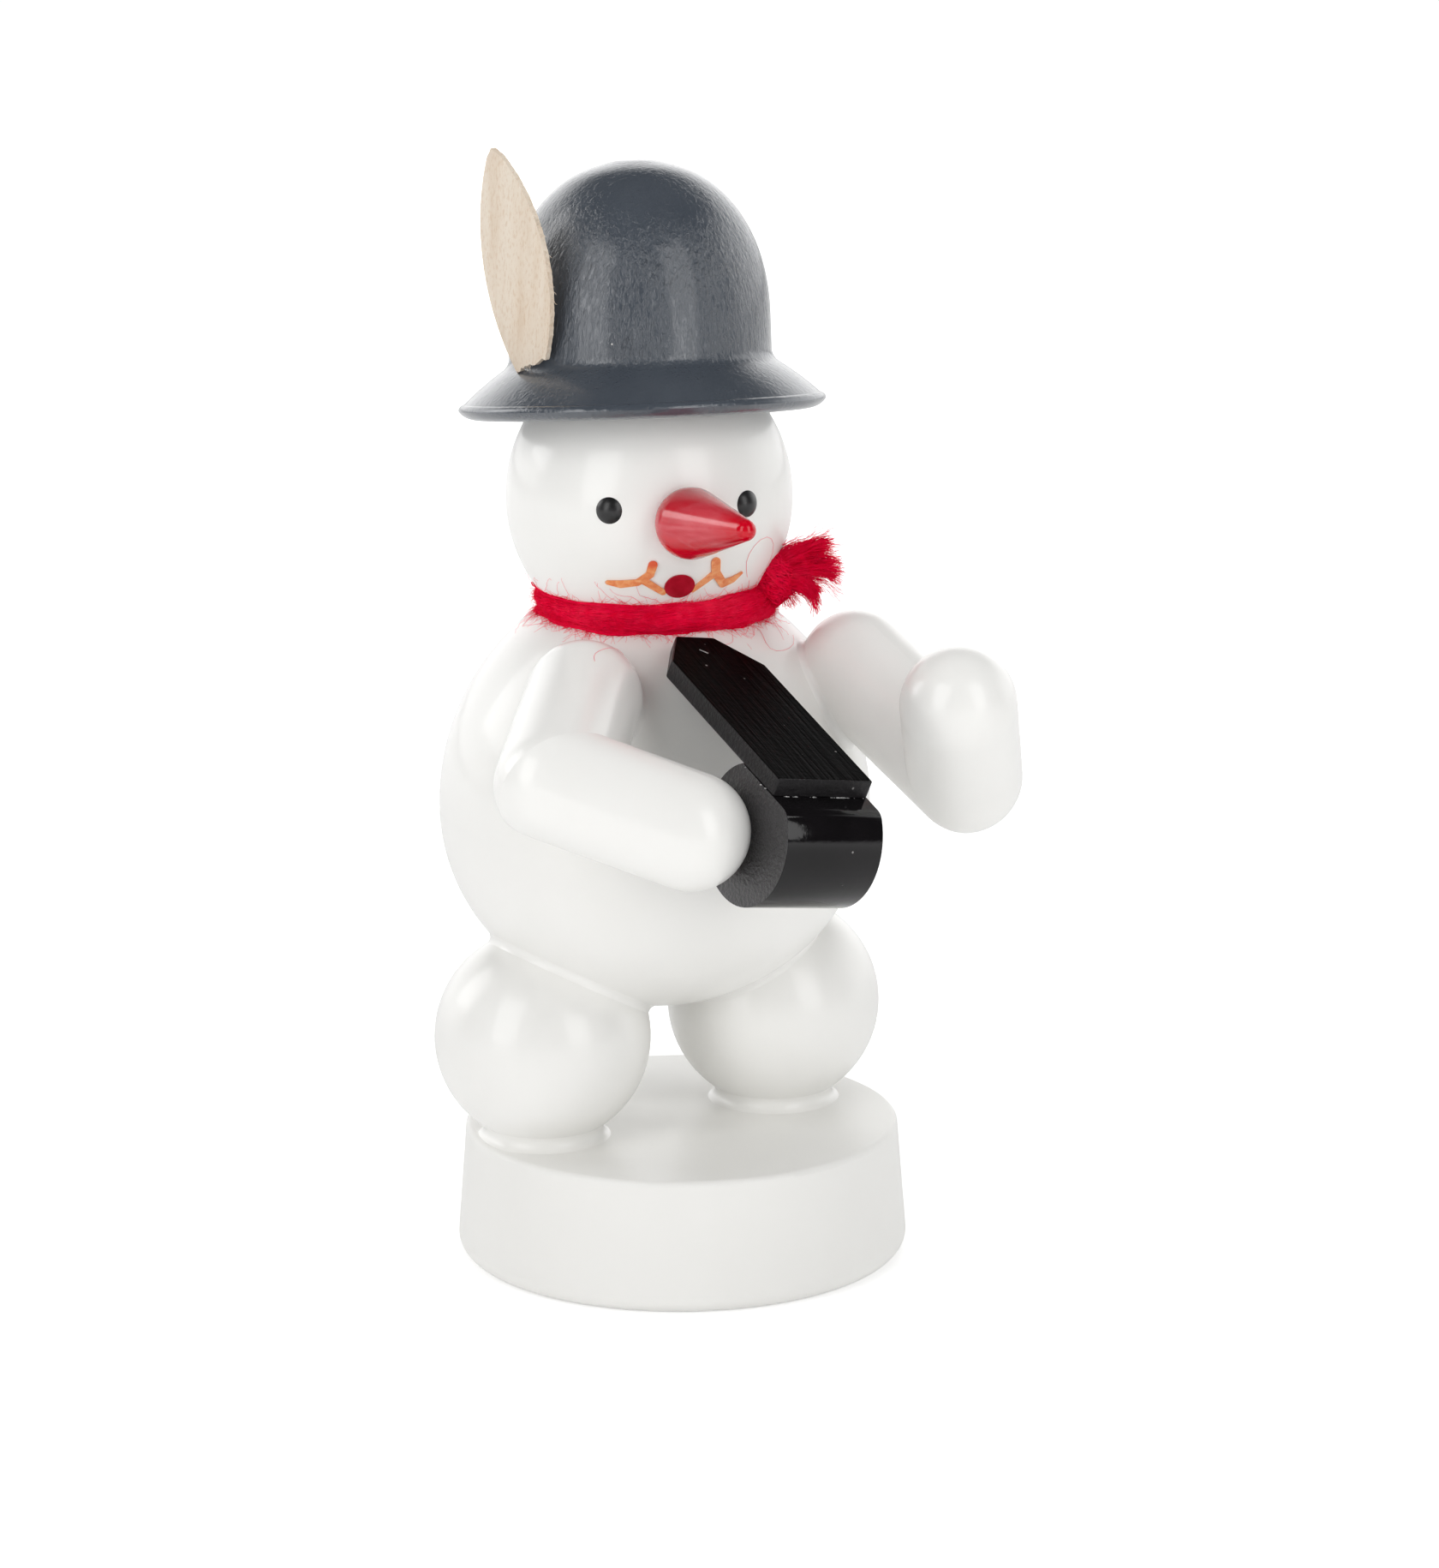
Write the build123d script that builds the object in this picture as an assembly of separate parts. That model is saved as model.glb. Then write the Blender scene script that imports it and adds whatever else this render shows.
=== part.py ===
from build123d import *
import math
import os

# Wooden snowman figure.  Millimetres, +Z up.
# The origin is the middle of the base underside, and the figure faces -Y.

# ---- base disc ----
base_bottom_radius = 16.0
base_top_radius = 15.25
base_height = 9.36
base_top_round = 0.4
base_bottom_round = 1.2

# ---- leg balls ----
leg_radius = 7.55
leg_spacing = 18.52
leg_middle_x = -1.16
leg_y = 1.1
leg_z = 16.56

# ---- torso, an egg that is taller above its widest line ----
torso_centre = Vector(-1.34, 1.2, 32.23)
torso_radius = 15.05
torso_upper_height = 16.24
torso_lower_height = 14.26
neck_z = 46.65                      # flat faces of torso and head meet here

# ---- head ----
head_centre = Vector(-1.54, 1.31, 53.98)
head_radius = 9.91
head_half_height = 10.35
face_turn = 15.3                    # the face is turned to the figure's own right

# ---- hat, one turned piece that leans back ----
hat_foot = Vector(-1.88, 1.54, 59.65)
hat_axis = Vector(0.036, 0.133, 0.99)
brim_radius = 12.65
brim_edge = 1.05
brim_roll = 1.5                     # width of the rounded underside of the rim
brim_slope_top = 3.55
crown_radius = 9.04
crown_straight = 6.4
crown_dome = 10.88
crown_fullness = 2.17               # 2 is a true ellipse, more is squarer
crown_foot_round = 1.0              # where the crown runs out into the brim

# ---- feather, a flat leaf of veneer ----
feather_thickness = 0.4
feather_length = 15.85
feather_half_width = 3.32            # on the rear edge
feather_belly = 4.0                  # on the fuller front edge
feather_foot_half_width = 1.3
feather_tip_half_width = 0.4
feather_seat_height = 3.9           # up the hat axis
feather_side = 80                   # degrees round from the front, to the right
feather_lean = 8
feather_skew = 3

# ---- nose, a carrot with a tenon ----
nose_root = Vector(-4.08, -9.27, 53.94)
nose_tip = Vector(-4.56, -17.46, 54.88)
nose_root_radius = 2.44
nose_tip_radius = 0.73
tenon_radius = 1.0
tenon_length = 6.0

# ---- painted face, in a plane in front of the turned face ----
paint_height = 0.12
eye_radius = 0.87
eye_rise = 0.36
eye_spread = 29.0                   # degrees each side of the face line
eye_z = 0.68
mouth_dot_width = 2.1
mouth_dot_height = 1.75
mouth_dot_z = -4.7

# ---- arms, turned rods with domed ends and mitred elbows ----
arm_radius = 3.93
elbow_reach = 0.5                   # how far each rod runs past the joint before its dome
right_shoulder = Vector(-11.64, -8.01, 42.57)
right_elbow = Vector(-18.11, -16.17, 39.3)
right_hand = Vector(-11.18, -21.86, 36.36)
left_shoulder = Vector(9.47, -8.13, 42.42)
left_elbow = Vector(11.63, -18.79, 36.97)
left_hand = Vector(8.48, -23.06, 42.78)

# ---- black prop, a clipped plate glued on a flat-topped roller ----
plate_front = Vector(-3.46, -25.3, 38.43)     # middle of the lower front edge
plate_across = Vector(0.984, 0.08, -0.158)
plate_along = Vector(-0.019, 0.934, 0.356)
plate_width = 7.6
plate_length = 18.1
plate_thickness = 1.29
clip_across = 2.22
clip_along = 3.34
roller_radius = 4.72
roller_back = 1.08                  # roller axis behind the plate's front edge
roller_drop = 3.7                   # roller axis below the plate
roller_round = 1.1                  # rounding of the front top edge

# ---- scarf, one length of wool yarn ----
yarn_radius = 1.1
scarf_radius = 7.8                  # to the middle of the yarn
scarf_lift = 0.3                    # middle of the yarn above the neck line
scarf_middle = (-1.1, 1.06)         # pulled a little to the knot's side
groove_radius = 7.56                # the yarn is pressed into the groove from here out
groove_head_slope = 0.96            # radius gained for each mm up the head
groove_torso_slope = 1.79           # radius gained for each mm down the torso
knot_centre = Vector(4.9, -5.4, 48.7)
knot_radius = 1.6
upper_end = Vector(7.6, -6.5, 50.6)
lower_end = Vector(7.4, -6.9, 48.3)
end_radius = 0.9

# ---- hidden dowels ----
glue_gap = 0.05
leg_dowel_radius = 1.75
neck_dowel_radius = 2.0
arm_dowel_radius = 1.0


def solid_of(shape):
    """Return the largest solid of a boolean result."""
    return max(shape.solids(), key=lambda s: s.volume)


def turned(edges, foot=Vector(0, 0, 0), axis=Vector(0, 0, 1)):
    """Turn a half profile, drawn as radius and height, about an axis."""
    return turned_face(make_face(edges), foot, axis)


def turned_face(face, foot, axis):
    piece = revolve(Plane.XZ * face, Axis.Z)
    return Plane(origin=foot, z_dir=axis) * piece


def quarter(radius, height):
    """A quarter oval of two tangent arcs, from the side point to the top point."""
    shift = (height - radius) / (2 - math.sqrt(2))
    side_arc = radius + shift
    top_arc = height - shift
    half = math.pi / 8
    join = point_at(2 * half, top_arc, height - top_arc)
    side_mid = (radius - side_arc + side_arc * math.cos(half), side_arc * math.sin(half))
    top_mid = point_at(3 * half, top_arc, height - top_arc)
    return [(radius, 0), side_mid, join, top_mid, (0, height)]


def egg(centre, radius, upper, lower):
    """A turned egg with different heights above and below its widest line."""
    above = quarter(radius, upper)
    below = [(x, -y) for x, y in quarter(radius, lower)]
    edges = Curve() + [
        ThreePointArc(*above[0:3]),
        ThreePointArc(*above[2:5]),
        ThreePointArc(*below[0:3]),
        ThreePointArc(*below[2:5]),
        Line((0, upper), (0, -lower)),
    ]
    return turned(edges, centre)


def rod(start, end, radius):
    """A plain round rod from one point to another."""
    run = end - start
    return Plane(origin=start, z_dir=run) * Cylinder(
        radius, run.length, align=(Align.CENTER, Align.CENTER, Align.MIN))


def drilled(piece, dowels):
    """Take the dowel holes, with room for glue, out of a piece."""
    for start, end, radius in dowels:
        piece = piece - rod(start, end, radius + glue_gap)
    return piece


def point_at(angle, radius, height):
    return (radius * math.cos(angle), height + radius * math.sin(angle))


def arm_piece(joint, domed_end, mitre_normal):
    """A turned rod, domed at both ends, sawn through its joint at the mitre."""
    run = domed_end - joint
    low = point_at(-math.pi / 4, arm_radius, -elbow_reach)
    top = point_at(math.pi / 4, arm_radius, run.length)
    edges = Curve() + [
        ThreePointArc((0, -elbow_reach - arm_radius), low, (arm_radius, -elbow_reach)),
        Line((arm_radius, -elbow_reach), (arm_radius, run.length)),
        ThreePointArc((arm_radius, run.length), top, (0, run.length + arm_radius)),
        Line((0, run.length + arm_radius), (0, -elbow_reach - arm_radius)),
    ]
    whole = turned(edges, joint, run)
    return solid_of(split(whole, Plane(origin=joint, z_dir=mitre_normal), keep=Keep.TOP))


def make_base():
    edges = Polyline((0, 0), (base_bottom_radius, 0), (base_top_radius, base_height),
                     (0, base_height), close=True)
    piece = turned(edges)
    rims = piece.edges().filter_by(GeomType.CIRCLE).sort_by(Axis.Z)
    piece = fillet(rims[0], base_bottom_round)
    rims = piece.edges().filter_by(GeomType.CIRCLE).sort_by(Axis.Z)
    return fillet(rims[-1], base_top_round)


def make_hat():
    lift = 0.5 * math.pi
    steps = [lift * i / 8 for i in range(1, 8)]
    power = 2 / crown_fullness
    dome = [(crown_radius * math.cos(a)**power,
             crown_straight + crown_dome * math.sin(a)**power) for a in steps]
    crown_top = crown_straight + crown_dome
    brim_mid = ((brim_radius - 0.4 + crown_radius) / 2, (brim_edge + brim_slope_top) / 2 + 0.12)
    edges = Curve() + [
        Line((0, 0), (brim_radius - brim_roll, 0)),
        ThreePointArc((brim_radius - brim_roll, 0), (brim_radius - 0.4, 0.22),
                      (brim_radius, 0.62)),
        ThreePointArc((brim_radius, 0.62), (brim_radius - 0.1, 0.88),
                      (brim_radius - 0.4, brim_edge)),
        ThreePointArc((brim_radius - 0.4, brim_edge), brim_mid, (crown_radius, brim_slope_top)),
        Line((crown_radius, brim_slope_top), (crown_radius, crown_straight)),
        Spline([(crown_radius, crown_straight)] + dome + [(0, crown_top)],
               tangents=[(0, 1), (-1, 0)]),
        Line((0, crown_top), (0, 0)),
    ]
    face = make_face(edges)
    corner = face.vertices().sort_by_distance((crown_radius, brim_slope_top, 0))[0]
    return turned_face(fillet(corner, crown_foot_round), hat_foot, hat_axis)


def make_feather(hat):
    """A leaf outline in its own plane, leaning out from the side of the crown."""
    foot = [(-feather_foot_half_width, -0.35), (feather_foot_half_width, 0.35)]
    shoulder = 0.45 * feather_length
    tip = feather_length - 0.2
    edges = Curve() + [
        Line(foot[0], foot[1]),
        ThreePointArc(foot[1], (feather_belly, shoulder), (feather_tip_half_width, tip)),
        ThreePointArc((feather_tip_half_width, tip), (0, feather_length),
                      (-feather_tip_half_width, tip)),
        ThreePointArc((-feather_tip_half_width, tip), (-feather_half_width, shoulder), foot[0]),
    ]
    leaf = Rot(0, 0, feather_skew) * extrude(make_face(edges), feather_thickness)
    around = math.radians(feather_side)
    outward = Vector(-math.sin(around), -math.cos(around), 0)
    outward = (outward - hat_axis * outward.dot(hat_axis)).normalized()
    lean = math.radians(feather_lean)
    up = hat_axis * math.cos(lean) + outward * math.sin(lean)
    face = outward * math.cos(lean) - hat_axis * math.sin(lean)
    seat = hat_foot + hat_axis * feather_seat_height + outward * (crown_radius - 0.1)
    seat = seat - up * 1.3
    plane = Plane(origin=seat, x_dir=up.cross(face), z_dir=face)
    return solid_of((plane * leaf) - hat)


def make_nose(head):
    run = nose_tip - nose_root
    length = run.length
    slope = math.asin((nose_root_radius - nose_tip_radius) / length)
    wide = point_at(slope, nose_root_radius, 0)
    narrow = point_at(slope, nose_tip_radius, length)
    root_mid = point_at(slope / 2 - math.pi / 4, nose_root_radius, 0)
    tip_mid = point_at(slope / 2 + math.pi / 4, nose_tip_radius, length)
    edges = Curve() + [
        ThreePointArc((0, -nose_root_radius), root_mid, wide),
        Line(wide, narrow),
        ThreePointArc(narrow, tip_mid, (0, length + nose_tip_radius)),
        Line((0, length + nose_tip_radius), (0, -nose_root_radius)),
    ]
    carrot = turned(edges, nose_root, run)
    end = nose_root - run.normalized() * tenon_length
    return solid_of(carrot - head) + rod(nose_root, end, tenon_radius)


def face_point(side_angle, height):
    """A point on the head's surface, by angle round from the face line."""
    turn = math.radians(side_angle - face_turn)
    out = head_radius * math.sqrt(1 - (height / head_half_height)**2)
    return head_centre + Vector(out * math.sin(turn), -out * math.cos(turn), height)


def surface_normal(point):
    away = point - head_centre
    return Vector(away.X / head_radius**2, away.Y / head_radius**2,
                  away.Z / head_half_height**2).normalized()


def make_eye(side, head):
    """A domed drop of paint that stands proud of the head."""
    point = face_point(side * eye_spread, eye_z)
    ball = (eye_radius**2 + eye_rise**2) / (2 * eye_rise)
    middle = point - surface_normal(point) * (ball - eye_rise)
    return solid_of((Pos(middle) * Sphere(ball)) - head)


def paint_layer(sketch, head):
    """A thin raised layer over the head, inside an outline in the face plane."""
    turn = math.radians(face_turn)
    toward = Vector(-math.sin(turn), -math.cos(turn), 0)
    plane = Plane(origin=head_centre, x_dir=Vector(math.cos(turn), -math.sin(turn), 0),
                  z_dir=toward)
    block = plane * extrude(sketch, head_radius + 2)
    coat = egg(head_centre, head_radius + paint_height, head_half_height + paint_height,
               head_half_height + paint_height)
    return block & (coat - head)


def brush(points):
    """A brush stroke through points that each carry their own half width."""
    stroke = Sketch()
    for (x1, y1, r1), (x2, y2, r2) in zip(points, points[1:]):
        dots = Sketch() + [Pos(x1, y1) * Circle(r1), Pos(x2, y2) * Circle(r2)]
        stroke = stroke + make_hull(dots.edges())
    return stroke


def make_mouth_lines(head, dot):
    """Two forked strokes, one each side of the red dot, in the face plane."""
    right = brush([(-4.7, -4.42, 0.16), (-3.9, -4.5, 0.28), (-2.85, -4.35, 0.24)])
    right = right + brush([(-2.85, -4.35, 0.24), (-2.1, -3.75, 0.28), (-1.95, -3.05, 0.3)])
    right = right + brush([(-2.4, -4.25, 0.26), (-1.1, -5.1, 0.22)])
    left = brush([(0.95, -5.05, 0.18), (2.4, -3.95, 0.26)])
    left = left + brush([(2.45, -3.1, 0.34), (2.52, -3.9, 0.32), (3.15, -4.8, 0.3)])
    left = left + brush([(3.15, -4.8, 0.3), (3.9, -4.6, 0.24), (4.55, -4.2, 0.1)])
    return [solid_of(paint_layer(s, head) - dot) for s in (right, left)]


def make_prop():
    """The clipped plate and the roller under it, in the plate's own frame."""
    up = plate_across.cross(plate_along)
    plane = Plane(origin=plate_front, x_dir=plate_across, z_dir=up)
    half = plate_width / 2
    outline = Polyline((-half, 0), (half, 0), (half, plate_length - clip_along),
                       (half - clip_across, plate_length),
                       (clip_across - half, plate_length),
                       (-half, plate_length - clip_along), close=True)
    plate = plane * extrude(make_face(outline), plate_thickness)
    roller = Rot(0, 90, 0) * Cylinder(roller_radius, plate_width)
    roller = Pos(0, roller_back, -roller_drop) * roller
    above = Pos(0, 0, roller_radius) * Box(30, 30, 2 * roller_radius)
    roller = solid_of(roller - above)
    half_chord = math.sqrt(roller_radius**2 - roller_drop**2)
    front_edge = roller.edges().sort_by_distance((0, roller_back - half_chord, 0))[0]
    roller = plane * fillet(front_edge, roller_round)
    return plate, roller, plane.x_dir


def make_scarf(solids):
    """The yarn pressed into the neck groove, its knot and two short ends, as one piece."""
    reach = 3.0
    groove = make_face(Polyline((groove_radius, 0),
                                (groove_radius + reach * groove_head_slope, reach),
                                (groove_radius + 2 * reach, 0),
                                (groove_radius + reach * groove_torso_slope, -reach),
                                close=True))
    section = (Pos(scarf_radius, scarf_lift) * Circle(yarn_radius)) & groove
    foot = Vector(scarf_middle[0], scarf_middle[1], neck_z)
    scarf = Pos(foot) * revolve(Plane.XZ * section, Axis.Z)
    ends = Pos(knot_centre) * Sphere(knot_radius)
    for end in (upper_end, lower_end):
        ends = ends + rod(knot_centre, end, end_radius) + Pos(end) * Sphere(end_radius)
    for solid in solids:
        ends = ends - solid
    return solid_of(scarf + solid_of(ends))


def main():
    leg_x = [leg_middle_x - leg_spacing / 2, leg_middle_x + leg_spacing / 2]
    leg_centres = [Vector(x, leg_y, leg_z) for x in leg_x]
    hat_axis_unit = hat_axis.normalized()
    up = Vector(0, 0, 1)

    # elbows: each mitre plane halves the angle between its two rods
    right_in = (right_elbow - right_shoulder).normalized()
    right_out = (right_hand - right_elbow).normalized()
    left_in = (left_elbow - left_shoulder).normalized()
    left_out = (left_hand - left_elbow).normalized()
    right_mitre = right_in + right_out
    left_mitre = left_in + left_out

    # dowels as start, end and radius
    foot_dowels = [(c - up * 11.5, c - up * 2.5, leg_dowel_radius) for c in leg_centres]
    hip_dowels = []
    for centre in leg_centres:
        rise = (torso_centre - centre).normalized()
        hip_dowels.append((centre + rise * 0.5, centre + rise * 9.5, leg_dowel_radius))
    neck_dowel = (Vector(torso_centre.X, torso_centre.Y, neck_z - 6),
                  Vector(torso_centre.X, torso_centre.Y, neck_z + 6), neck_dowel_radius)
    hat_dowel = (hat_foot - hat_axis_unit * 4.5, hat_foot + hat_axis_unit * 5.5,
                 leg_dowel_radius)
    shoulder_dowels = []
    for shoulder in (right_shoulder, left_shoulder):
        inward = (Vector(torso_centre.X, torso_centre.Y, 37) - shoulder).normalized()
        shoulder_dowels.append((shoulder - inward * 1.5, shoulder + inward * 6.5,
                                arm_dowel_radius))
    elbow_dowels = []
    for joint, mitre in ((right_elbow, right_mitre), (left_elbow, left_mitre)):
        half = mitre.normalized() * 2.4
        elbow_dowels.append((joint - half, joint + half, arm_dowel_radius))

    plate, roller, across = make_prop()
    hand_dowel = (right_hand + across * 1.2, right_hand + across * 6.8, arm_dowel_radius)

    # big turned pieces
    head_egg = egg(head_centre, head_radius, head_half_height, head_half_height)
    torso_egg = egg(torso_centre, torso_radius, torso_upper_height, torso_lower_height)
    head = solid_of(split(head_egg, Plane(origin=(0, 0, neck_z), z_dir=up), keep=Keep.TOP))
    head = solid_of(split(head, Plane(origin=hat_foot, z_dir=hat_axis), keep=Keep.BOTTOM))
    torso = solid_of(split(torso_egg, Plane(origin=(0, 0, neck_z), z_dir=up),
                           keep=Keep.BOTTOM))
    base = make_base()
    hat = make_hat()

    pieces = {}
    floor = Plane(origin=(0, 0, base_height), z_dir=up)
    for name, centre, foot_dowel, hip_dowel in zip(
            ("right_leg_ball", "left_leg_ball"), leg_centres, foot_dowels, hip_dowels):
        ball = Pos(centre) * Sphere(leg_radius)
        ball = solid_of(split(ball, floor, keep=Keep.TOP)) - torso_egg
        pieces[name] = drilled(ball, [foot_dowel, hip_dowel])
    pieces["base_disc"] = drilled(base, foot_dowels)

    arms = {
        "right_upper_arm": arm_piece(right_elbow, right_shoulder, right_mitre * -1),
        "right_forearm": arm_piece(right_elbow, right_hand, right_mitre),
        "left_upper_arm": arm_piece(left_elbow, left_shoulder, left_mitre * -1),
        "left_forearm": arm_piece(left_elbow, left_hand, left_mitre),
    }
    arm_dowels = {
        "right_upper_arm": [shoulder_dowels[0], elbow_dowels[0]],
        "right_forearm": [elbow_dowels[0], hand_dowel],
        "left_upper_arm": [shoulder_dowels[1], elbow_dowels[1]],
        "left_forearm": [elbow_dowels[1]],
    }
    for name, arm in arms.items():
        arm = solid_of(arm - torso_egg - roller - plate)
        pieces[name] = drilled(arm, arm_dowels[name])

    nose = make_nose(head)
    tenon_end = nose_root - (nose_tip - nose_root).normalized() * tenon_length
    pieces["torso"] = drilled(torso, hip_dowels + [neck_dowel] + shoulder_dowels)
    pieces["head"] = drilled(head, [neck_dowel, hat_dowel,
                                    (nose_root, tenon_end, tenon_radius)])
    pieces["hat"] = drilled(hat, [hat_dowel])
    pieces["feather"] = make_feather(hat)
    pieces["nose"] = nose
    pieces["right_eye"] = make_eye(-1, head_egg)
    pieces["left_eye"] = make_eye(1, head_egg)

    dot_outline = Pos(0, mouth_dot_z) * Ellipse(mouth_dot_width / 2, mouth_dot_height / 2)
    mouth_dot = solid_of(paint_layer(dot_outline, head_egg))
    pieces["mouth_dot"] = mouth_dot
    right_line, left_line = make_mouth_lines(head_egg, mouth_dot)
    pieces["mouth_line_right"] = right_line
    pieces["mouth_line_left"] = left_line

    pieces["prop_plate"] = solid_of(plate - torso_egg)
    pieces["prop_roller"] = drilled(roller, [hand_dowel])
    pieces["scarf"] = make_scarf([torso_egg, head_egg])

    pieces["foot_dowel_right"] = rod(*foot_dowels[0])
    pieces["foot_dowel_left"] = rod(*foot_dowels[1])
    pieces["hip_dowel_right"] = rod(*hip_dowels[0])
    pieces["hip_dowel_left"] = rod(*hip_dowels[1])
    pieces["neck_dowel"] = rod(*neck_dowel)
    pieces["hat_dowel"] = rod(*hat_dowel)
    pieces["shoulder_dowel_right"] = rod(*shoulder_dowels[0])
    pieces["shoulder_dowel_left"] = rod(*shoulder_dowels[1])
    pieces["elbow_dowel_right"] = rod(*elbow_dowels[0])
    pieces["elbow_dowel_left"] = rod(*elbow_dowels[1])
    pieces["hand_dowel"] = rod(*hand_dowel)

    os.makedirs("parts", exist_ok=True)
    for name, piece in pieces.items():
        solid = solid_of(piece)
        print(f"{name:22s} {solid.volume:10.2f} mm3  valid {solid.is_valid}")
        export_step(solid, f"parts/{name}.step")


main()
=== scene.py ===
import math

import bpy
import numpy as np
from mathutils import Matrix, Vector
from mathutils.bvhtree import BVHTree


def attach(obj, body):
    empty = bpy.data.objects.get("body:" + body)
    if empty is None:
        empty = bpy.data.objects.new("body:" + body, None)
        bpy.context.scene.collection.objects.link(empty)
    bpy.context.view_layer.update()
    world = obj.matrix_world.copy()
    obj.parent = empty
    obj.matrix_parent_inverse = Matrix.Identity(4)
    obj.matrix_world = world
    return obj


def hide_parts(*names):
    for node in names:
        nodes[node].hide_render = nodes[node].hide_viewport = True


# Looks of the wooden snowman figure.  Metres, in the frame of the CAD part.

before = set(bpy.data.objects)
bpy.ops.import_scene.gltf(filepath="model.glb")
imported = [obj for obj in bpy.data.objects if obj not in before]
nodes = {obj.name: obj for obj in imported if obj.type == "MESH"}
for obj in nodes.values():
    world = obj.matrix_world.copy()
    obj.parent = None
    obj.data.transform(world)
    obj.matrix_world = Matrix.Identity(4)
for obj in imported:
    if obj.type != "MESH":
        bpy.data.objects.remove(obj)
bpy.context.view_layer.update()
MM = 0.001
rng = np.random.default_rng(7)

# ---- sizes shared with the CAD part, in millimetres ----
BASE_HEIGHT = 9.36
LEG_CENTRES = (Vector((-10.42, 1.1, 16.56)), Vector((8.1, 1.1, 16.56)))
TORSO_CENTRE = Vector((-1.34, 1.2, 32.23))
TORSO_RADIUS = 15.05
TORSO_UPPER_HEIGHT = 16.24
NECK_Z = 46.65
HEAD_CENTRE = Vector((-1.54, 1.31, 53.98))
HEAD_RADIUS = 9.91
HEAD_HALF_HEIGHT = 10.35
HAT_FOOT = Vector((-1.88, 1.54, 59.65))
HAT_AXIS = Vector((0.036, 0.133, 0.99)).normalized()
CROWN_RADIUS = 9.04
SHOULDERS = (Vector((-11.64, -8.01, 42.57)), Vector((9.47, -8.13, 42.42)))
ELBOWS = (Vector((-18.11, -16.17, 39.3)), Vector((11.63, -18.79, 36.97)))
HANDS = (Vector((-11.18, -21.86, 36.36)), Vector((8.48, -23.06, 42.78)))
PLATE_FRONT = Vector((-3.46, -25.3, 38.43))
PLATE_ACROSS = Vector((0.984, 0.08, -0.158)).normalized()
PLATE_ALONG = Vector((-0.019, 0.934, 0.356)).normalized()
PLATE_UP = PLATE_ACROSS.cross(PLATE_ALONG).normalized()
PLATE_THICKNESS = 1.29
PLATE_LENGTH = 18.1
PLATE_HALF_WIDTH = 3.8
FEATHER_LENGTH = 15.85
FEATHER_SEAT = 3.9                      # up the hat axis
KNOT = Vector((4.9, -5.4, 48.7))


# ---------------------------------------------------------------- materials

class Paint:
    """A material whose node tree is built with short calls."""

    def __init__(self, name, **sockets):
        self.mat = bpy.data.materials.new(name)
        self.mat.use_nodes = True
        self.tree = self.mat.node_tree
        self.shader = self.tree.nodes["Principled BSDF"]
        for key, value in sockets.items():
            self.shader.inputs[key.replace("_", " ")].default_value = value
        place = self.tree.nodes.new("ShaderNodeTexCoord")
        self.place = place.outputs["Object"]

    def node(self, kind, inputs=None, **settings):
        made = self.tree.nodes.new(kind)
        for key, value in settings.items():
            setattr(made, key, value)
        for key, value in (inputs or {}).items():
            if isinstance(value, bpy.types.NodeSocket):
                self.tree.links.new(value, made.inputs[key])
            else:
                made.inputs[key].default_value = value
        return made

    def stretched(self, scale, rotation=(0, 0, 0)):
        """Object coordinates turned and then scaled, in units per metre."""
        turned = self.node("ShaderNodeMapping", {"Vector": self.place, "Rotation": rotation})
        scaled = self.node("ShaderNodeMapping", {"Vector": turned.outputs[0], "Scale": scale})
        return scaled.outputs[0]

    def noise(self, where, scale=1.0, detail=4.0, rough=0.55, twist=0.0):
        return self.node("ShaderNodeTexNoise", {
            "Vector": where, "Scale": scale, "Detail": detail, "Roughness": rough,
            "Distortion": twist}).outputs["Fac"]

    def cells(self, where, scale):
        return self.node("ShaderNodeTexVoronoi", {"Vector": where, "Scale": scale}
                         ).outputs["Distance"]

    def ramp(self, value, *stops):
        made = self.node("ShaderNodeValToRGB", {"Fac": value})
        bar = made.color_ramp
        while len(bar.elements) < len(stops):
            bar.elements.new(0.5)
        for element, (at, shade) in zip(bar.elements, stops):
            element.position = at
            if isinstance(shade, (int, float)):
                shade = (shade, shade, shade)
            element.color = (*shade, 1)
        return made.outputs["Color"]

    def mix(self, share, one, two, blend="MIX"):
        made = self.node("ShaderNodeMix", data_type="RGBA", blend_type=blend)
        for index, value in ((0, share), (6, one), (7, two)):
            if isinstance(value, bpy.types.NodeSocket):
                self.tree.links.new(value, made.inputs[index])
            elif index:
                made.inputs[index].default_value = (*value, 1)
            else:
                made.inputs[index].default_value = value
        return made.outputs[2]

    def maths(self, what, one, two=0.0):
        return self.node("ShaderNodeMath", {0: one, 1: two}, operation=what).outputs[0]

    def into(self, socket, value):
        self.tree.links.new(value, self.shader.inputs[socket])

    def bump(self, *layers):
        """Stack of (height, strength, distance in mm) bumps."""
        normal = None
        for height, strength, distance in layers:
            inputs = {"Height": height, "Strength": strength, "Distance": distance * MM}
            if normal is not None:
                inputs["Normal"] = normal
            normal = self.node("ShaderNodeBump", inputs).outputs[0]
        self.into("Normal", normal)


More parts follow.
